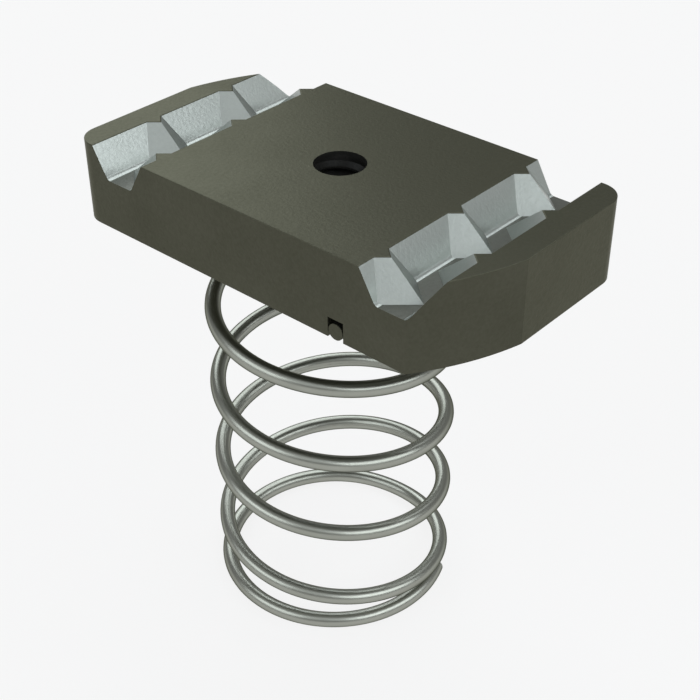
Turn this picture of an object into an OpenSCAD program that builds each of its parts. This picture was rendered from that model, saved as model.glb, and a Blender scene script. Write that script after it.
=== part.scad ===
// Channel nut with a spring: a plate nut for 41 mm strut channel. Two toothed grooves grip the
// channel's turned-in lips, a tapped hole takes the rod, and a coil spring holds the nut up.
// The origin is on the hole's axis, in the nut's top face. X runs along the nut and Z points up.

/* [Nut plate] */
// Length of the plate, from end face to end face
nut_length = 34.6; // [34.2:0.1:37]
// Width of the plate, which passes through the channel's slot
nut_width = 19.05; // [18.75:0.05:20]
// Thickness of the plate
nut_thickness = 6.35; // [5.5:0.05:8]
// Radius of the two small rounded corners
corner_radius = 1.9; // [0.5:0.1:3]
// Radius of the arc that cuts each of the other two corners
arc_radius = 20.5; // [15:0.5:30]
// Length that each arc takes off the long side
arc_along_side = 3.54; // [2:0.02:3.8]
// Length that each arc takes off the end face
arc_along_end = 7.52; // [6:0.02:8]
// Diameter of the tapped hole, inside its thread
hole_diameter = 3.78; // [3:0.02:5]

/* [Toothed grooves] */
// Distance between the middles of the two grooves
groove_spacing = 25.14; // [24.9:0.02:25.4]
// Width of each groove at the top face
groove_mouth = 5.2; // [4.8:0.05:5.5]
// Depth of each groove
groove_depth = 2.35; // [2:0.05:2.6]
// Slope of the groove's walls, from the vertical
groove_wall_angle = 30; // [25:1:32]
// Radius where a wall meets the groove's floor
groove_floor_radius = 0.5; // [0.2:0.1:0.6]
// Distance between two teeth on the same wall
tooth_pitch = 7.38; // [7:0.02:7.5]
// How far a tooth's crest stands out from its wall at the top face
tooth_reach = 0.79; // [0.5:0.01:0.9]
// Half of a tooth's angle, seen from above
tooth_half_angle = 41.5; // [36:0.5:45]
// Slope of a tooth's crest, from the vertical
tooth_crest_angle = 49; // [44:1:51]

/* [Spring and its slot] */
// Diameter of the spring's wire
wire_diameter = 1.22; // [1:0.02:1.3]
// How far the coil stays inside the nut's width, on each side
coil_inset = 0; // [0:0.05:0.5]
// Height that the open coil drops in one turn
coil_pitch = 6.8; // [5:0.1:8]
// Number of open turns, before the flat end turn
open_turns = 4.25; // [3.25:0.25:5.25]
// Gap between the nut's underside and the coil, where the coil starts
coil_gap = 0.43; // [0.1:0.01:1]
// Gap between the cut end of the wire and the turn above it
end_gap = 0.04; // [0.02:0.01:0.3]
// Distance from the hole's axis to the straight end of the wire
wire_offset = 8.03; // [7.8:0.01:8.3]
// Gap on each side of the wire in its slot
wire_clearance = 0.05; // [0.02:0.01:0.08]
// Depth of the slot in the nut's underside
slot_depth = 1.54; // [1.4:0.02:1.8]
// Length over which the wire comes down out of the slot
lead_length = 6; // [4:0.5:8]

/* [Hidden] */

body_color = [0.32, 0.32, 0.26];
spring_color = [0.56, 0.58, 0.56];

// How far a cutter runs past the face that it cuts
past = 1;

// Sizes worked out for the plate
half_length = nut_length / 2;
half_width = nut_width / 2;
arc_chord = norm([arc_along_side, arc_along_end]);
arc_depth = sqrt(arc_radius * arc_radius - arc_chord * arc_chord / 4);
arc_centre_x = half_length - arc_along_side / 2 - arc_depth * arc_along_end / arc_chord;
arc_centre_y = arc_along_end / 2 - half_width + arc_depth * arc_along_side / arc_chord;
curve_sides = 96;

// Sizes worked out for the grooves and teeth
wall_slope = tan(groove_wall_angle);
mouth_half = groove_mouth / 2;
floor_half = mouth_half - groove_depth * wall_slope;
floor_tangent = groove_floor_radius * tan((90 - groove_wall_angle) / 2);
wall_tangent_x = floor_half + floor_tangent * sin(groove_wall_angle);
wall_tangent_z = floor_tangent * cos(groove_wall_angle) - groove_depth;
tooth_section_slope = tan(tooth_half_angle) / cos(tooth_crest_angle);
tooth_base = 2.5;

// Sizes worked out for the spring
wire_radius = wire_diameter / 2;
slot_width = wire_diameter + 2 * wire_clearance;
coil_radius = half_width - coil_inset - wire_radius;
coil_centre_x = wire_offset - coil_radius;
seat_height = wire_radius - nut_thickness;
start_height = -nut_thickness - coil_gap - wire_radius;
start_slope = -coil_pitch / (2 * PI * coil_radius);
open_angle = 360 * open_turns;
end_turn_angle = 360 - 360 * (wire_diameter + end_gap) / coil_pitch;
// Half of the angle over which the open coil eases into the flat end turn
blend_angle = 15;

// How finely the wire is drawn: its steps along the lead, the angle between rings, and its sides
lead_steps = 9;
ring_angle = 8;
coil_steps = round((open_angle + end_turn_angle) / ring_angle);
wire_sides = 16;

// The plate with its two rounded corners and its two arc-cut corners
module plate() {
    difference() {
        translate([-half_length, -half_width, -nut_thickness])
            cube([nut_length, nut_width, nut_thickness]);
        for (turn = [0, 180])
            rotate(turn) {
                round_corner_cut();
                arc_corner_cut();
            }
    }
}

module through_cylinder(radius) {
    translate([0, 0, -nut_thickness - past])
        cylinder(r = radius, h = nut_thickness + 2 * past, $fn = curve_sides);
}

module round_corner_cut() {
    translate([half_length - corner_radius, half_width - corner_radius, 0])
        difference() {
            translate([0, 0, -nut_thickness - past / 2])
                cube([corner_radius + past, corner_radius + past, nut_thickness + past]);
            through_cylinder(corner_radius);
        }
}

module arc_corner_cut() {
    difference() {
        translate([half_length - arc_along_side, -half_width - past, -nut_thickness - past / 2])
            cube([arc_along_side + past, arc_along_end + past, nut_thickness + past]);
        translate([arc_centre_x, arc_centre_y, 0])
            through_cylinder(arc_radius);
    }
}

// The section of a groove, drawn about its middle with the top face at zero
module groove_section() {
    polygon([
        [-mouth_half - past * wall_slope, past],
        [-wall_tangent_x, wall_tangent_z],
        [floor_tangent - floor_half, -groove_depth],
        [floor_half - floor_tangent, -groove_depth],
        [wall_tangent_x, wall_tangent_z],
        [mouth_half + past * wall_slope, past]
    ]);
    for (side = [-1, 1])
        translate([side * (floor_half - floor_tangent), groove_floor_radius - groove_depth])
            circle(r = groove_floor_radius, $fn = curve_sides);
}

// A tooth: a ridge with flat sides whose crest slopes down and away from the wall on its left
module tooth() {
    slant_length = (groove_depth + 2 * past) / cos(tooth_crest_angle);
    translate([tooth_reach - mouth_half, 0, 0])
        rotate([0, -tooth_crest_angle, 0])
            translate([0, 0, past / cos(tooth_crest_angle) - slant_length])
                linear_extrude(slant_length)
                    polygon([
                        [0, 0],
                        [-tooth_base, tooth_base * tooth_section_slope],
                        [-tooth_base, -tooth_base * tooth_section_slope]
                    ]);
}

// What is cut away for one groove: three teeth stay on its inner wall and two on its outer wall
module groove_cut() {
    translate([groove_spacing / 2, 0, 0])
        difference() {
            translate([0, half_width + past, 0])
                rotate([90, 0, 0])
                    linear_extrude(nut_width + 2 * past)
                        groove_section();
            for (place = [-1, 0, 1])
                translate([0, place * tooth_pitch, 0])
                    tooth();
            for (place = [-0.5, 0.5])
                translate([0, place * tooth_pitch, 0])
                    mirror([1, 0, 0])
                        tooth();
        }
}

// The slot in the underside that holds the straight end of the spring's wire
module wire_slot() {
    translate([wire_offset - slot_width / 2, -half_width - past, -nut_thickness - past])
        cube([slot_width, nut_width + 2 * past, slot_depth + past]);
}

module nut_body() {
    color(body_color)
        difference() {
            plate();
            groove_cut();
            mirror([1, 0, 0])
                groove_cut();
            through_cylinder(hole_diameter / 2);
            wire_slot();
        }
}

// Height of the wire as it comes down out of the slot, from y = -lead_length to y = 0
function lead_height(y) =
    let (t = 1 + y / lead_length)
    seat_height * (2 * t * t * t - 3 * t * t + 1)
    + start_height * (3 * t * t - 2 * t * t * t)
    + start_slope * lead_length * (t * t * t - t * t);

// Height of the coil at an angle from its start: a steady drop that eases into the flat end turn
function coil_height(angle) =
    let (eased = max(0, min(2 * blend_angle, angle - open_angle + blend_angle)))
    let (straight = min(angle, open_angle - blend_angle))
    start_height - coil_pitch / 360 * (straight + eased - eased * eased / (4 * blend_angle));

function lead_point(y) = [wire_offset, y, lead_height(y)];

function coil_point(angle) =
    [coil_centre_x + coil_radius * cos(angle), coil_radius * sin(angle), coil_height(angle)];

wire_path = concat(
    [[wire_offset, -half_width, seat_height]],
    [for (i = [0:lead_steps - 1]) lead_point(lead_length * (i / lead_steps - 1))],
    [for (i = [0:coil_steps]) coil_point((open_angle + end_turn_angle) * i / coil_steps)]
);

function unit(v) = v / norm(v);

function wire_direction(i) =
    unit(wire_path[min(i + 1, len(wire_path) - 1)] - wire_path[max(i - 1, 0)]);

// One ring of points around the wire, square to its path
function wire_ring(i) =
    let (along = wire_direction(i))
    let (side = unit(cross(along, [0, 0, 1])))
    let (over = cross(side, along))
    [for (k = [0:wire_sides - 1])
        let (turn = 360 * (k + 0.5) / wire_sides)
        wire_path[i] + wire_radius * (cos(turn) * side + sin(turn) * over)];

module spring() {
    last = len(wire_path) - 1;
    corners = [for (i = [0:last]) each wire_ring(i)];
    walls = [
        for (i = [0:last - 1], k = [0:wire_sides - 1])
            let (a = i * wire_sides + k)
            let (b = i * wire_sides + (k + 1) % wire_sides)
            each [[a, b, b + wire_sides], [a, b + wire_sides, a + wire_sides]]
    ];
    first_cap = [for (k = [0:wire_sides - 1]) wire_sides - 1 - k];
    last_cap = [for (k = [0:wire_sides - 1]) last * wire_sides + k];
    color(spring_color)
        polyhedron(points = corners, faces = concat([first_cap], walls, [last_cap]), convexity = 10);
}

nut_body();
spring();
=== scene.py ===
# %% [markdown]
# A channel nut with its spring
#
# The object is a plate nut for strut channel, with a coil spring under it. It is two pieces: a block of
# dark steel with two toothed grooves, and one length of bright spring wire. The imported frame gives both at
# their real size. This lesson sets the view, gives the block broken edges and a real thread, draws the
# wire as a smooth sweep, and then works on the finishes and the light.

import math

import bmesh
import bpy
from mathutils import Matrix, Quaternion, Vector


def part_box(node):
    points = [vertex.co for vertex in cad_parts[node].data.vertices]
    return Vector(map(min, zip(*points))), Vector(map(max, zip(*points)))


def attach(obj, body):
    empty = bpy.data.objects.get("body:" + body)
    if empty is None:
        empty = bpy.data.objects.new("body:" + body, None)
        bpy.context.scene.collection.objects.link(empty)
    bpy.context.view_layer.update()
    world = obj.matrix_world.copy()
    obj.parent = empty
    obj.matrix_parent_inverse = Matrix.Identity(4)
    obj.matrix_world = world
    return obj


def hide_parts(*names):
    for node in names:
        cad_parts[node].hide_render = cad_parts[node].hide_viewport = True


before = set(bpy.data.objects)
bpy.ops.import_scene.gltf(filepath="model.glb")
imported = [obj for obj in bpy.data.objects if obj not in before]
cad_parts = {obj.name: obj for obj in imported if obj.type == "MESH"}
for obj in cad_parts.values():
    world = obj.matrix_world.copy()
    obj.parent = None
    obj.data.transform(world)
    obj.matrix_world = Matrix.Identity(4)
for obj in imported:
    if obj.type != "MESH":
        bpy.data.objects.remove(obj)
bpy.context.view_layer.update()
print("nodes:", sorted(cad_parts))

# %% [markdown]
# Sizes
#
# Blender works in metres here, and a nut is easier to think about in millimetres. So each size below
# is written in millimetres and multiplied by MM. The plate's length, width and thickness, and the height
# that the spring stands at, are read from the frame, so that they can't drift away from it.

# %% Sizes of the plate
MM = 0.001

plate_low, plate_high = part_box("nut_body")
FLOOR_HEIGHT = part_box("spring")[0].z
NUT_THICKNESS = plate_high.z - plate_low.z
HALF_LENGTH = (plate_high.x - plate_low.x) / 2
HALF_WIDTH = (plate_high.y - plate_low.y) / 2
HOLE_RADIUS = 1.89 * MM
print(f"plate {2 * HALF_LENGTH / MM:.2f} x {2 * HALF_WIDTH / MM:.2f} x {NUT_THICKNESS / MM:.2f} mm")

# %% [markdown]
# The camera
#
# The photograph looks down on the nut from the front right. Its place and lens were worked out from the
# plate's straight edges, which vanish towards three points in a picture. The camera comes first,
# because each later choice is judged through it.

# %% The camera
CAMERA_PLACE = Vector((54.88, -61.20, 41.58)) * MM
CAMERA_LOOK = Vector((-0.5425, 0.6148, -0.5725))
CAMERA_ROLL = math.radians(-0.12)
CAMERA_LENS = 67.6


def add_camera():
    bpy.ops.object.camera_add(location=CAMERA_PLACE)
    camera = bpy.context.object
    camera.name = "photo_camera"
    camera.rotation_mode = "QUATERNION"
    aim = CAMERA_LOOK.to_track_quat("-Z", "Y")
    camera.rotation_quaternion = aim @ Quaternion((0, 0, 1), CAMERA_ROLL)
    camera.data.lens = CAMERA_LENS
    camera.data.clip_start = 1 * MM
    bpy.context.scene.camera = camera


add_camera()
print(f"camera at {CAMERA_PLACE.length / MM:.0f} mm from the hole, {CAMERA_LENS} mm lens")

# %% [markdown]
# Small helpers for edit mode
#
# An operator works on whatever is selected, so each step starts with nothing selected. Faces and edges are
# then picked in code by their place or their direction, as a hand would pick them on the screen.


# %% Selecting and editing
def select_only(obj):
    bpy.ops.object.select_all(action="DESELECT")
    obj.select_set(True)
    bpy.context.view_layer.objects.active = obj


def edit(obj, mode):
    select_only(obj)
    bpy.ops.object.mode_set(mode="EDIT")
    bpy.ops.mesh.select_mode(type=mode)
    bpy.ops.mesh.select_all(action="DESELECT")


def leave_edit(obj):
    bpy.ops.object.mode_set(mode="OBJECT")
    return len(obj.data.polygons)


# %% [markdown]
# The plate
#
# On the real nut the plate is pressed or cut from bar, and tumbled, so its edges are broken by a hair and
# catch a thin line of light. The frame's solid has sharp edges and comes as loose triangles. A copy of it
# is merged, its flat triangles are joined into whole faces, and the sharp edges of its top and bottom get a
# small bevel. A Bevel modifier would round the edges inside the grooves as well, so the edges are picked
# here by their place. The hole's rim is left out, because the thread is cut there next.

# %% Copy the plate and break its edges
EDGE_BREAK = 0.045 * MM
SHARP_ANGLE = math.radians(30)
FLAT_ANGLE = math.radians(0.3)
MERGE_REACH = 0.002 * MM
RIM_REACH = 2.2 * MM
LITTLE = 0.01 * MM


def copy_node(name, new_name):
    select_only(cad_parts[name])
    bpy.ops.object.duplicate()
    piece = bpy.context.object
    piece.name = new_name
    piece.data.name = new_name
    piece.parent = None
    bpy.ops.mesh.customdata_custom_splitnormals_clear()
    return piece


def on_hole(edge):
    return all(math.hypot(v.co.x, v.co.y) < RIM_REACH for v in edge.verts)


def on_top_or_bottom(edge):
    heights = [v.co.z for v in edge.verts]
    return min(heights) > -LITTLE or max(heights) < LITTLE - NUT_THICKNESS


def break_edges(piece):
    edit(piece, "EDGE")
    bpy.ops.mesh.select_all(action="SELECT")
    bpy.ops.mesh.remove_doubles(threshold=MERGE_REACH)
    bpy.ops.mesh.dissolve_limited(angle_limit=FLAT_ANGLE)
    bpy.ops.mesh.select_all(action="DESELECT")
    mesh = bmesh.from_edit_mesh(piece.data)
    for edge in mesh.edges:
        sharp = len(edge.link_faces) == 2 and edge.calc_face_angle(0) > SHARP_ANGLE
        edge.select_set(sharp and on_top_or_bottom(edge) and not on_hole(edge))
    bmesh.update_edit_mesh(piece.data)
    bpy.ops.mesh.bevel(offset=EDGE_BREAK, segments=2, profile=0.5, affect="EDGES", clamp_overlap=True)
    return leave_edit(piece)


nut_plate = copy_node("nut_body", "nut_plate")
print("plate faces:", break_edges(nut_plate))

# %% [markdown]
# The thread
#
# A tapped hole is cut by a tap, and that is how it is made here too. A bump would be less work, but it
# would leave the wall straight wherever the hole's outline shows. A zigzag line one pitch high is turned
# about the hole's axis by a Screw modifier, which gives the tap's ridges. Two bisect cuts square off
# its ends, and its ridges fade out towards the top, so the hole's rim stays round. The tap is then taken
# away from the plate with a Boolean, so the hole keeps the frame's diameter at the crests of its thread.

# %% Cut the thread
THREAD_PITCH = 1.058 * MM
THREAD_DEPTH = 0.5 * MM
THREAD_FLAT = 0.13 * MM
TAP_CORE = HOLE_RADIUS + 0.006 * MM
TAP_TURNS = 9
TAP_END = 0.6 * MM
THREAD_STEPS = 48
THREAD_START = 0.35 * MM
THREAD_FADE = 1.3 * MM


def tap_profile():
    half_flat = THREAD_FLAT / 2
    middle = THREAD_PITCH / 2
    crest = TAP_CORE + THREAD_DEPTH
    return [
        (TAP_CORE, 0),
        (TAP_CORE, half_flat),
        (crest, middle - half_flat),
        (crest, middle + half_flat),
        (TAP_CORE, THREAD_PITCH - half_flat),
        (TAP_CORE, THREAD_PITCH),
    ]


def add_tap_line():
    bpy.ops.object.select_all(action="DESELECT")
    bpy.ops.mesh.primitive_plane_add(size=THREAD_PITCH)
    tap = bpy.context.object
    tap.name = "tap"
    edit(tap, "VERT")
    bpy.ops.mesh.select_all(action="SELECT")
    bpy.ops.mesh.delete(type="VERT")
    mesh = bmesh.from_edit_mesh(tap.data)
    start = -NUT_THICKNESS - TAP_END - THREAD_PITCH
    line = [mesh.verts.new((radius, 0, start + height)) for radius, height in tap_profile()]
    for first, second in zip(line, line[1:]):
        mesh.edges.new((first, second))
    bmesh.update_edit_mesh(tap.data)
    leave_edit(tap)
    return tap


def cut_end(piece, height, keep_above):
    edit(piece, "VERT")
    bpy.ops.mesh.select_all(action="SELECT")
    bpy.ops.mesh.bisect(
        plane_co=(0, 0, height),
        plane_no=(0, 0, 1),
        clear_inner=keep_above,
        clear_outer=not keep_above,
    )
    leave_edit(piece)


def fade_in(tap):
    for vertex in tap.data.vertices:
        depth_down = -vertex.co.z - THREAD_START
        share = min(1, max(0, depth_down / THREAD_FADE))
        across = Vector((vertex.co.x, vertex.co.y, 0))
        wanted = TAP_CORE + (across.length - TAP_CORE) * share
        across *= wanted / across.length
        vertex.co.x = across.x
        vertex.co.y = across.y


def make_tap():
    tap = add_tap_line()
    bpy.ops.object.modifier_add(type="SCREW")
    screw = tap.modifiers["Screw"]
    screw.axis = "Z"
    screw.screw_offset = THREAD_PITCH
    screw.iterations = TAP_TURNS
    screw.steps = THREAD_STEPS
    screw.render_steps = THREAD_STEPS
    screw.use_merge_vertices = True
    screw.merge_threshold = MERGE_REACH
    bpy.ops.object.modifier_apply(modifier="Screw")
    edit(tap, "VERT")
    bpy.ops.mesh.select_all(action="SELECT")
    bpy.ops.mesh.remove_doubles(threshold=MERGE_REACH)
    leave_edit(tap)
    cut_end(tap, TAP_END, keep_above=False)
    cut_end(tap, -NUT_THICKNESS - TAP_END, keep_above=True)
    fade_in(tap)
    edit(tap, "VERT")
    bpy.ops.mesh.select_all(action="SELECT")
    bpy.ops.mesh.fill_holes(sides=0)
    bpy.ops.mesh.normals_make_consistent(inside=False)
    leave_edit(tap)
    return tap


def cut_with(piece, tool):
    select_only(piece)
    bpy.ops.object.modifier_add(type="BOOLEAN")
    boolean = piece.modifiers["Boolean"]
    boolean.operation = "DIFFERENCE"
    boolean.solver = "EXACT"
    boolean.object = tool
    bpy.ops.object.modifier_apply(modifier="Boolean")
    bpy.data.objects.remove(tool)


def measure_solid(piece):
    mesh = bmesh.new()
    mesh.from_mesh(piece.data)
    volume = mesh.calc_volume(signed=True)
    open_edges = sum(len(edge.link_faces) != 2 for edge in mesh.edges)
    mesh.free()
    return round(volume / MM**3, 2), open_edges


print("plate before the thread, volume and open edges:", measure_solid(nut_plate))
tap = make_tap()
print("tap, volume and open edges:", measure_solid(tap))
cut_with(nut_plate, tap)
print("plate after the thread, volume and open edges:", measure_solid(nut_plate))

# %% [markdown]
# The spring's wire
#
# The spring is one length of drawn wire. Its straight end lies in the slot under the plate, it comes down
# in a smooth step, winds down in open turns and ends in a flat turn that stands level. The same few
# sizes describe it here as in the source of the frame's solid.

# %% Sizes of the wire
WIRE_RADIUS = 0.61 * MM
COIL_PITCH = 6.8 * MM
OPEN_TURNS = 4.25
COIL_GAP = 0.43 * MM
END_GAP = 0.04 * MM
WIRE_OFFSET = 8.03 * MM
LEAD_LENGTH = 6 * MM
HALF_BLEND = math.radians(15)

OPEN_ANGLE = math.radians(360 * OPEN_TURNS)
COIL_RADIUS = HALF_WIDTH - WIRE_RADIUS
COIL_CENTRE_X = WIRE_OFFSET - COIL_RADIUS
SEAT_HEIGHT = WIRE_RADIUS - NUT_THICKNESS
START_HEIGHT = -NUT_THICKNESS - COIL_GAP - WIRE_RADIUS
DROP_PER_RADIAN = COIL_PITCH / math.tau
END_TURN_ANGLE = math.tau * (1 - (2 * WIRE_RADIUS + END_GAP) / COIL_PITCH)
print(f"coil radius {COIL_RADIUS / MM:.3f} mm, flat end turn {math.degrees(END_TURN_ANGLE):.0f} degrees")


def lead_height(share):
    start_slope = -DROP_PER_RADIAN / COIL_RADIUS * LEAD_LENGTH
    stay = 2 * share**3 - 3 * share**2 + 1
    leave = share**3 - share**2
    return SEAT_HEIGHT * stay + START_HEIGHT * (1 - stay) + start_slope * leave


def coil_height(angle):
    eased = max(0, min(2 * HALF_BLEND, angle - OPEN_ANGLE + HALF_BLEND))
    steady = min(angle, OPEN_ANGLE - HALF_BLEND)
    return START_HEIGHT - DROP_PER_RADIAN * (steady + eased - eased**2 / (4 * HALF_BLEND))


# %% [markdown]
# Sweep the wire
#
# A Screw modifier could wind a circle into the coil, but not into the straight end and the step. So the
# whole wire follows one curve, whose points lie closer together than the solid's. The curve's round bevel
# makes the wire, with 28 sides at this resolution. Its ends are filled, and get the small burr-free
# chamfer of a cut wire.

# %% The path and the sweep
STRAIGHT_STEPS = 4
LEAD_STEPS = 20
COIL_STEP_ANGLE = math.radians(3)
WIRE_ROUNDNESS = 12
END_CHAMFER = 0.03 * MM
END_REACH = 1.1 * WIRE_RADIUS


def wire_points():
    points = []
    for step in range(STRAIGHT_STEPS):
        y = -HALF_WIDTH + (HALF_WIDTH - LEAD_LENGTH) * step / STRAIGHT_STEPS
        points.append((WIRE_OFFSET, y, SEAT_HEIGHT))
    for step in range(LEAD_STEPS):
        share = step / LEAD_STEPS
        points.append((WIRE_OFFSET, LEAD_LENGTH * (share - 1), lead_height(share)))
    last_angle = OPEN_ANGLE + END_TURN_ANGLE
    steps = round(last_angle / COIL_STEP_ANGLE)
    for step in range(steps + 1):
        angle = last_angle * step / steps
        x = COIL_CENTRE_X + COIL_RADIUS * math.cos(angle)
        points.append((x, COIL_RADIUS * math.sin(angle), coil_height(angle)))
    return points


def sweep_wire():
    bpy.ops.object.select_all(action="DESELECT")
    bpy.ops.curve.primitive_nurbs_path_add()
    wire = bpy.context.object
    wire.name = "spring_wire"
    points = wire_points()
    wire.data.splines.clear()
    line = wire.data.splines.new("POLY")
    line.points.add(len(points) - 1)
    for point, place in zip(line.points, points):
        point.co = (*place, 1)
    wire.data.twist_mode = "Z_UP"
    wire.data.bevel_depth = WIRE_RADIUS
    wire.data.bevel_resolution = WIRE_ROUNDNESS
    wire.data.use_fill_caps = True
    bpy.ops.object.convert(target="MESH")
    return bpy.context.object


def wire_ends():
    points = [Vector(point) for point in wire_points()]
    for end, before in ((points[0], points[1]), (points[-1], points[-2])):
        yield end, (end - before).normalized()


WIRE_ENDS = list(wire_ends())


def at_wire_end(centre):
    for place, outward in WIRE_ENDS:
        offset = centre - place
        if offset.length < END_REACH and abs(offset.dot(outward)) < END_CHAMFER:
            return True
    return False


def chamfer_ends(wire):
    edit(wire, "FACE")
    bpy.ops.mesh.select_all(action="SELECT")
    bpy.ops.mesh.remove_doubles(threshold=MERGE_REACH)
    bpy.ops.mesh.normals_make_consistent(inside=False)
    bpy.ops.mesh.select_all(action="DESELECT")
    mesh = bmesh.from_edit_mesh(wire.data)
    for face in mesh.faces:
        face.select_set(at_wire_end(face.calc_center_median()))
    bmesh.update_edit_mesh(wire.data)
    bpy.ops.mesh.dissolve_faces()
    bpy.ops.mesh.bevel(offset=END_CHAMFER, segments=2, profile=0.5, affect="EDGES")
    return leave_edit(wire)


spring_wire = sweep_wire()
print("wire faces:", chamfer_ends(spring_wire))
print("uv maps of the wire:", [layer.name for layer in spring_wire.data.uv_layers])
print("wire, volume and open edges:", measure_solid(spring_wire))

# %% [markdown]
# Smooth shading
#
# Both pieces are shaded smooth where neighbouring faces turn by less than a set angle, so the arcs, the
# grooves' small radii and the wire look round, while flat faces keep their hard borders. The wire's sides
# turn by nearly 13 degrees each, so its angle is the larger of the two. A Weighted Normal modifier then
# lets each large flat face win over the narrow strips beside it, so it stays flat to its rim.

# %% Shade the two pieces
PLATE_SMOOTH_ANGLE = math.radians(12)
WIRE_SMOOTH_ANGLE = math.radians(20)


def shade(piece, smooth_angle):
    select_only(piece)
    bpy.ops.object.shade_smooth_by_angle(angle=smooth_angle)
    bpy.ops.object.modifier_add(type="WEIGHTED_NORMAL")
    weighted = piece.modifiers["WeightedNormal"]
    weighted.weight = 100
    weighted.keep_sharp = True
    bpy.ops.object.modifier_apply(modifier="WeightedNormal")
    return sum(edge.use_edge_sharp for edge in piece.data.edges)


print("sharp edges of the plate:", shade(nut_plate, PLATE_SMOOTH_ANGLE))
print("sharp edges of the wire:", shade(spring_wire, WIRE_SMOOTH_ANGLE))

# %% [markdown]
# Helpers for materials
#
# A material is a small graph of nodes. These three helpers add a node with its inputs set by name, join
# pairs of sockets and start a material, so each graph below reads as a list of what it is made of.


# %% Helpers for nodes
def add_node(tree, kind, inputs=None, **settings):
    node = tree.nodes.new(kind)
    for name, value in settings.items():
        setattr(node, name, value)
    for name, value in (inputs or {}).items():
        node.inputs[name].default_value = value
    return node


def join(tree, *pairs):
    for start, end in pairs:
        tree.links.new(start, end)


def new_material(name):
    material = bpy.data.materials.new(name)
    material.use_nodes = True
    tree = material.node_tree
    return material, tree, tree.nodes["Principled BSDF"]


# %% [markdown]
# The grain of the steel, a shared group
#
# Rolled, cast or drawn, steel is never one even tone: it has a fine grain and, much larger and fainter,
# soft clouds where the scale or the oil film differs. Every finish here uses them, at sizes and shares of
# its own. So the effect is a node group, built once. It takes coordinates in metres, the two sizes in
# millimetres, the clouds' share, two tones and two roughnesses, and gives a colour, a roughness and a
# height.

# %% The grain group
GRAIN_INPUTS = {
    "Vector": "NodeSocketVector",
    "Grain size": "NodeSocketFloat",
    "Cloud size": "NodeSocketFloat",
    "Cloud share": "NodeSocketFloat",
    "Dark tone": "NodeSocketColor",
    "Light tone": "NodeSocketColor",
    "Least roughness": "NodeSocketFloat",
    "Most roughness": "NodeSocketFloat",
}
GRAIN_OUTPUTS = {
    "Color": "NodeSocketColor",
    "Roughness": "NodeSocketFloat",
    "Height": "NodeSocketFloat",
}
GRAIN_DETAIL = 2
CLOUD_DETAIL = 3
NOISE_ROUGHNESS = 0.55
LEAST_NOISE = 0.3
MOST_NOISE = 0.7


def new_group(name, inputs, outputs):
    group = bpy.data.node_groups.new(name, "ShaderNodeTree")
    for socket, kind in inputs.items():
        group.interface.new_socket(name=socket, in_out="INPUT", socket_type=kind)
    for socket, kind in outputs.items():
        group.interface.new_socket(name=socket, in_out="OUTPUT", socket_type=kind)
    return group, group.nodes.new("NodeGroupInput"), group.nodes.new("NodeGroupOutput")


def noise_of_size(tree, coordinates, size, detail):
    per_metre = add_node(tree, "ShaderNodeMath", {0: 1 / MM}, operation="DIVIDE")
    noise = add_node(tree, "ShaderNodeTexNoise", {"Detail": detail, "Roughness": NOISE_ROUGHNESS})
    join(
        tree,
        (size, per_metre.inputs[1]),
        (coordinates, noise.inputs["Vector"]),
        (per_metre.outputs["Value"], noise.inputs["Scale"]),
    )
    return noise.outputs["Fac"]


def make_grain_group():
    tree, given, result = new_group("steel_grain", GRAIN_INPUTS, GRAIN_OUTPUTS)
    coordinates = given.outputs["Vector"]
    grain = noise_of_size(tree, coordinates, given.outputs["Grain size"], GRAIN_DETAIL)
    clouds = noise_of_size(tree, coordinates, given.outputs["Cloud size"], CLOUD_DETAIL)
    blend = add_node(tree, "ShaderNodeMix", data_type="FLOAT")
    spread = add_node(tree, "ShaderNodeMapRange", {"From Min": LEAST_NOISE, "From Max": MOST_NOISE})
    tone = add_node(tree, "ShaderNodeMix", data_type="RGBA")
    rough = add_node(tree, "ShaderNodeMix", data_type="FLOAT")
    join(
        tree,
        (given.outputs["Cloud share"], blend.inputs["Factor"]),
        (grain, blend.inputs["A"]),
        (clouds, blend.inputs["B"]),
        (blend.outputs["Result"], spread.inputs["Value"]),
        (spread.outputs["Result"], tone.inputs["Factor"]),
        (given.outputs["Dark tone"], tone.inputs["A"]),
        (given.outputs["Light tone"], tone.inputs["B"]),
        (spread.outputs["Result"], rough.inputs["Factor"]),
        (given.outputs["Most roughness"], rough.inputs["A"]),
        (given.outputs["Least roughness"], rough.inputs["B"]),
        (tone.outputs["Result"], result.inputs["Color"]),
        (rough.outputs["Result"], result.inputs["Roughness"]),
        (grain, result.inputs["Height"]),
    )
    return tree


steel_grain = make_grain_group()
print("grain group, nodes and inputs:", len(steel_grain.nodes), list(GRAIN_INPUTS))

# %% [markdown]
# Dark steel, the plate's own finish
#
# The plate is dark, faintly olive steel under a thin film of baked oil. The film darkens the metal and
# hides part of its gloss, so the finish has low tones and is only two thirds metal. Bare metal turns white
# at a low angle, and the film holds that back, which is what the Specular Tint does here. A low bump from
# the grain's height gives the fine mottle that catches the light.

# %% Dark steel
GRAIN_BUMP = 0.012 * MM
OIL_TINT = (0.6, 0.6, 0.52, 1)


def grain_into(tree, shader, bump_height, **values):
    coordinates = add_node(tree, "ShaderNodeTexCoord")
    grain = add_node(tree, "ShaderNodeGroup", node_tree=steel_grain)
    for name, value in values.items():
        grain.inputs[name.replace("_", " ").capitalize()].default_value = value
    bump = add_node(tree, "ShaderNodeBump", {"Distance": bump_height, "Strength": 1})
    join(
        tree,
        (coordinates.outputs["Object"], grain.inputs["Vector"]),
        (grain.outputs["Color"], shader.inputs["Base Color"]),
        (grain.outputs["Roughness"], shader.inputs["Roughness"]),
        (grain.outputs["Height"], bump.inputs["Height"]),
        (bump.outputs["Normal"], shader.inputs["Normal"]),
    )
    return bump


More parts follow.
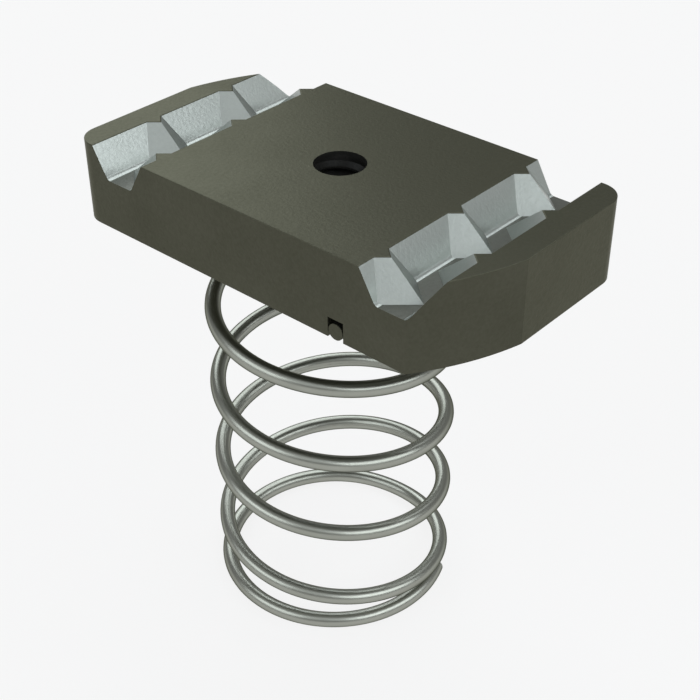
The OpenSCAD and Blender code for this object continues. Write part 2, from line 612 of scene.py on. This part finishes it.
def make_dark_steel():
    material, tree, shader = new_material("dark_steel")
    grain_into(
        tree,
        shader,
        GRAIN_BUMP,
        grain_size=0.26,
        cloud_size=6,
        cloud_share=0.5,
        dark_tone=(0.061, 0.061, 0.043, 1),
        light_tone=(0.077, 0.077, 0.056, 1),
        least_roughness=0.3,
        most_roughness=0.38,
    )
    shader.inputs["Metallic"].default_value = 0.65
    shader.inputs["Specular IOR Level"].default_value = 0.15
    shader.inputs["Specular Tint"].default_value = OIL_TINT
    return material


dark_steel = make_dark_steel()
print("dark steel, nodes:", len(dark_steel.node_tree.nodes))

# %% [markdown]
# Groove steel, with painted light
#
# The grooves' walls and teeth are the plate's own steel, in a copy of its finish that is nearly all metal
# and much lighter. The lighter tones are painted light, for the bright light that these walls face. Their
# skin has a clear fine pimpling, as sand-blasted or forged metal has. The same group gives it: on lighter
# tones about the same bump shows far more.

# %% Groove steel with painted light
BLAST_BUMP = 0.011 * MM


def make_groove_steel_painted_light():
    material, tree, shader = new_material("groove_steel_painted_light")
    grain_into(
        tree,
        shader,
        BLAST_BUMP,
        grain_size=0.26,
        cloud_size=4,
        cloud_share=0.5,
        # These light tones are painted light, for the bright light that the groove walls face.
        dark_tone=(0.37, 0.397, 0.374, 1),
        light_tone=(0.42, 0.45, 0.425, 1),
        least_roughness=0.3,
        most_roughness=0.38,
    )
    shader.inputs["Metallic"].default_value = 0.9
    return material


groove_steel_painted_light = make_groove_steel_painted_light()
print("bare steel, nodes:", len(groove_steel_painted_light.node_tree.nodes))

# %% [markdown]
# Shaded steel, on the grooves' floors
#
# The grooves' flat floors are the same steel as the walls, with darker tones painted in as shade for the
# bottom of a groove. It is the same recipe with tones between those of the other two.

# %% Shaded steel
FLOOR_BUMP = 0.014 * MM


def make_shaded_steel():
    material, tree, shader = new_material("shaded_steel")
    grain_into(
        tree,
        shader,
        FLOOR_BUMP,
        grain_size=0.3,
        cloud_size=4,
        cloud_share=0.5,
        # These darker tones are painted shade for the bottom of the groove.
        dark_tone=(0.095, 0.099, 0.083, 1),
        light_tone=(0.12, 0.124, 0.107, 1),
        least_roughness=0.3,
        most_roughness=0.4,
    )
    shader.inputs["Metallic"].default_value = 0.75
    return material


shaded_steel = make_shaded_steel()
print("shaded steel, nodes:", len(shaded_steel.node_tree.nodes))

# %% [markdown]
# Threaded steel with painted shade, inside the hole
#
# The inside of the hole is painted almost black, as painted shade for the deep recess. It has the same grain
# with very dark tones and no metal, and hardly any bump, because a tap cuts smooth flanks.

# %% Threaded steel with painted shade
THREAD_BUMP = 0.003 * MM


def make_thread_steel_painted_shade():
    material, tree, shader = new_material("thread_steel_painted_shade")
    grain_into(
        tree,
        shader,
        THREAD_BUMP,
        grain_size=0.2,
        cloud_size=2,
        cloud_share=0.4,
        # These near-black tones are painted shade for the inside of the hole.
        dark_tone=(0.010, 0.010, 0.009, 1),
        light_tone=(0.018, 0.018, 0.016, 1),
        least_roughness=0.35,
        most_roughness=0.5,
    )
    shader.inputs["Specular IOR Level"].default_value = 0.15
    return material


thread_steel_painted_shade = make_thread_steel_painted_shade()
print("threaded steel, nodes:", len(thread_steel_painted_shade.node_tree.nodes))

# %% [markdown]
# Drawn wire
#
# Spring wire is pulled through a die, which polishes it and leaves hair-fine lines along it. The lines
# follow the wire, so they read its own UV map, where U runs along the wire and V round it. Noise that is
# stretched a long way in U gives them, and feeds a very low bump in place of the grain's height. From the
# shared group the wire takes the clouds alone. The Specular Tint keeps the wire's two rims dark, as they
# are in the photograph.

# %% Spring steel
LINES_ROUND_WIRE = 30
LINES_ALONG_WIRE = 4
LINE_BUMP = 0.001 * MM
EDGE_TINT = (0.12, 0.12, 0.1, 1)
WIRE_MAP = spring_wire.data.uv_layers[0].name


def make_spring_steel():
    material, tree, shader = new_material("spring_steel")
    bump = grain_into(
        tree,
        shader,
        LINE_BUMP,
        grain_size=0.5,
        cloud_size=5,
        cloud_share=1,
        dark_tone=(0.32, 0.33, 0.292, 1),
        light_tone=(0.36, 0.371, 0.331, 1),
        least_roughness=0.28,
        most_roughness=0.33,
    )
    wire_map = add_node(tree, "ShaderNodeUVMap", uv_map=WIRE_MAP)
    stretch = add_node(tree, "ShaderNodeMapping")
    stretch.inputs["Scale"].default_value = (LINES_ALONG_WIRE, LINES_ROUND_WIRE, 1)
    lines = add_node(tree, "ShaderNodeTexNoise", {"Scale": 1, "Detail": 0})
    join(
        tree,
        (wire_map.outputs["UV"], stretch.inputs["Vector"]),
        (stretch.outputs["Vector"], lines.inputs["Vector"]),
        (lines.outputs["Fac"], bump.inputs["Height"]),
    )
    shader.inputs["Metallic"].default_value = 1
    shader.inputs["Specular Tint"].default_value = EDGE_TINT
    return material


spring_steel = make_spring_steel()
print("spring steel, nodes:", len(spring_steel.node_tree.nodes))

# %% [markdown]
# Give each face its finish
#
# The plate has four finishes. Its faces are sorted by their place: those that lie between a groove's two
# edges get the groove steel with painted light, or the shaded steel with painted shade where they are the
# groove's flat floor, those close round the hole's axis get the threaded steel with painted shade, and all
# the rest keep the dark steel. The wire's two cut ends were sheared and never polished, so they are dark as
# well.

# %% Sort the plate's faces
GROOVE_INNER_EDGE = 9.97 * MM
GROOVE_OUTER_EDGE = 15.17 * MM
GROOVE_DEPTH = 2.35 * MM
HOLE_REACH = HOLE_RADIUS + 0.7 * MM
LOOKS_UP = 0.01
LIES_FLAT = 0.99
DARK, GROOVE_PAINTED_LIGHT, SHADED, THREAD = range(4)
WIRE, CUT_END = range(2)


def in_groove(plate, face):
    heights = [plate.data.vertices[index].co.z for index in face.vertices]
    above_floor = min(heights) > -GROOVE_DEPTH - LITTLE
    between = GROOVE_INNER_EDGE - LITTLE < abs(face.center.x) < GROOVE_OUTER_EDGE + LITTLE
    return above_floor and between and face.normal.z > LOOKS_UP and face.center.z < -EDGE_BREAK


def on_groove_floor(face):
    return face.normal.z > LIES_FLAT


def round_hole(face):
    near = math.hypot(face.center.x, face.center.y) < HOLE_REACH
    return near and -NUT_THICKNESS + LITTLE < face.center.z < -LITTLE


def sort_faces(plate):
    plate.data.materials.clear()
    for material in (dark_steel, groove_steel_painted_light, shaded_steel, thread_steel_painted_shade):
        plate.data.materials.append(material)
    counts = [0, 0, 0, 0]
    for face in plate.data.polygons:
        face.material_index = DARK
        if in_groove(plate, face):
            face.material_index = SHADED if on_groove_floor(face) else GROOVE_PAINTED_LIGHT
        if round_hole(face):
            face.material_index = THREAD
        counts[face.material_index] += 1
    return counts


def sort_wire_faces(wire):
    wire.data.materials.clear()
    wire.data.materials.append(spring_steel)
    wire.data.materials.append(dark_steel)
    for face in wire.data.polygons:
        face.material_index = CUT_END if at_wire_end(face.center) else WIRE
    return sum(face.material_index for face in wire.data.polygons)


print("faces of dark, bare, shaded and threaded steel:", sort_faces(nut_plate))
print("faces at the cut ends of the wire:", sort_wire_faces(spring_wire))

# %% [markdown]
# The floor
#
# The floor is pale and plain, and the flat end of the spring stands on it. A brighter lamp would whiten it
# and the nut with it. So where the camera, a reflection or a view through glass meets the floor, most of
# it is a plain white glow, and the share that is left keeps the shadow. To all other rays it is a matt
# grey surface.

# %% The floor
FLOOR_SIZE = 6
FLOOR_TONE = (0.56, 0.56, 0.56, 1)
FLOOR_ROUGHNESS = 0.9
FLOOR_GLOSS = 0.1
BACKDROP_SHARE = 0.84


def make_floor_material():
    material, tree, shader = new_material("studio_floor")
    shader.inputs["Base Color"].default_value = FLOOR_TONE
    shader.inputs["Roughness"].default_value = FLOOR_ROUGHNESS
    shader.inputs["Specular IOR Level"].default_value = FLOOR_GLOSS
    rays = add_node(tree, "ShaderNodeLightPath")
    shown = add_node(tree, "ShaderNodeMath", operation="MAXIMUM")
    seen = add_node(tree, "ShaderNodeMath", operation="MAXIMUM")
    share = add_node(tree, "ShaderNodeMath", {1: BACKDROP_SHARE}, operation="MULTIPLY")
    glow = add_node(tree, "ShaderNodeEmission", {"Color": (1, 1, 1, 1), "Strength": 1})
    blend = add_node(tree, "ShaderNodeMixShader")
    output = tree.nodes["Material Output"]
    join(
        tree,
        (rays.outputs["Is Camera Ray"], shown.inputs[0]),
        (rays.outputs["Is Glossy Ray"], shown.inputs[1]),
        (shown.outputs["Value"], seen.inputs[0]),
        (rays.outputs["Is Transmission Ray"], seen.inputs[1]),
        (seen.outputs["Value"], share.inputs[0]),
        (share.outputs["Value"], blend.inputs["Fac"]),
        (shader.outputs["BSDF"], blend.inputs[1]),
        (glow.outputs["Emission"], blend.inputs[2]),
        (blend.outputs["Shader"], output.inputs["Surface"]),
    )
    return material


def add_floor():
    bpy.ops.object.select_all(action="DESELECT")
    bpy.ops.mesh.primitive_plane_add(size=FLOOR_SIZE, location=(0, 0, FLOOR_HEIGHT))
    floor = bpy.context.object
    floor.name = "studio_floor"
    floor.data.materials.append(make_floor_material())


add_floor()
print(f"floor at {FLOOR_HEIGHT / MM:.2f} mm, under the flat end of the spring")

# %% [markdown]
# The sky
#
# Metal shows what it reflects, so the light is planned as a picture that the nut stands in. Its ground is
# a sky that is dim between a paler horizon and a slightly paler zenith. A ramp over the height of each
# direction draws it, and needs no picture file.

# %% A sky in five stops
SKY = ((0.02, 0.92), (0.08, 0.55), (0.2, 0.3), (0.72, 0.3), (0.95, 0.36))


def light_the_sky():
    world = bpy.data.worlds.new("studio_sky")
    bpy.context.scene.world = world
    world.use_nodes = True
    tree = world.node_tree
    direction = add_node(tree, "ShaderNodeTexCoord")
    parts = add_node(tree, "ShaderNodeSeparateXYZ")
    ramp = add_node(tree, "ShaderNodeValToRGB")
    stops = ramp.color_ramp.elements
    while len(stops) < len(SKY):
        stops.new(1)
    for stop, (height, light) in zip(stops, SKY):
        stop.position = height
        stop.color = (light, light, light, 1)
    join(
        tree,
        (direction.outputs["Generated"], parts.inputs["Vector"]),
        (parts.outputs["Z"], ramp.inputs["Fac"]),
        (ramp.outputs["Color"], tree.nodes["Background"].inputs["Color"]),
    )


light_the_sky()
print("sky, height and light:", SKY)

# %% [markdown]
# The softboxes
#
# The light is a photographer's soft set of five faintly cool softboxes. Their places matter more than
# their strength. The two boxes in front draw the bright line along the wire and light the ramps of the
# teeth, and the right one lights the walls of both grooves. The left box brightens the left end of the
# plate's top, and the top box its rear.
#
# All angles are in degrees, as seen from the nut. An azimuth of 0 is straight in front of it and 90 is to
# its right, and the width and height are those that the box seems to have from there.

# %% Five area lights
AIM = Vector((0, 0, -12)) * MM
BOX_DISTANCE = 0.6
SOFTBOX_TINT = (0.91, 0.96, 1)


def add_softbox(name, azimuth, elevation, wide, high, radiance):
    turn = math.radians(azimuth)
    rise = math.radians(elevation)
    towards = Vector((math.sin(turn) * math.cos(rise), -math.cos(turn) * math.cos(rise), math.sin(rise)))
    bpy.ops.object.light_add(type="AREA", location=AIM + towards * BOX_DISTANCE)
    light = bpy.context.object
    light.name = name
    light.rotation_mode = "QUATERNION"
    light.rotation_quaternion = towards.to_track_quat("Z", "Y")
    light.data.shape = "RECTANGLE"
    light.data.size = 2 * BOX_DISTANCE * math.tan(math.radians(wide / 2))
    light.data.size_y = 2 * BOX_DISTANCE * math.tan(math.radians(high / 2))
    light.data.energy = radiance * math.pi * light.data.size * light.data.size_y
    light.data.color = SOFTBOX_TINT
    print(f"{name}: {light.data.size:.2f} x {light.data.size_y:.2f} m, {light.data.energy:.2f} W")


add_softbox("front_left_softbox", azimuth=-20, elevation=34, wide=48, high=32, radiance=2.0)
add_softbox("front_softbox", azimuth=36, elevation=46, wide=40, high=40, radiance=0.5)
add_softbox("right_softbox", azimuth=95, elevation=35, wide=62, high=30, radiance=2.5)
add_softbox("left_softbox", azimuth=-118, elevation=30, wide=30, high=32, radiance=2.3)
add_softbox("top_softbox", azimuth=-158, elevation=60, wide=44, high=32, radiance=2.2)

# %% [markdown]
# Put the pieces into the frame
#
# Each drawn piece stands for one solid of the frame and rides on the frame's one body, and that solid is
# hidden.

# %% Ride and replace
FINISHED = ((nut_plate, "nut_body", "dark_steel"), (spring_wire, "spring", "spring_steel"))

for piece, node, slot in FINISHED:
    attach(piece, "root")
    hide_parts(node)

bpy.context.scene.view_settings.view_transform = "Standard"
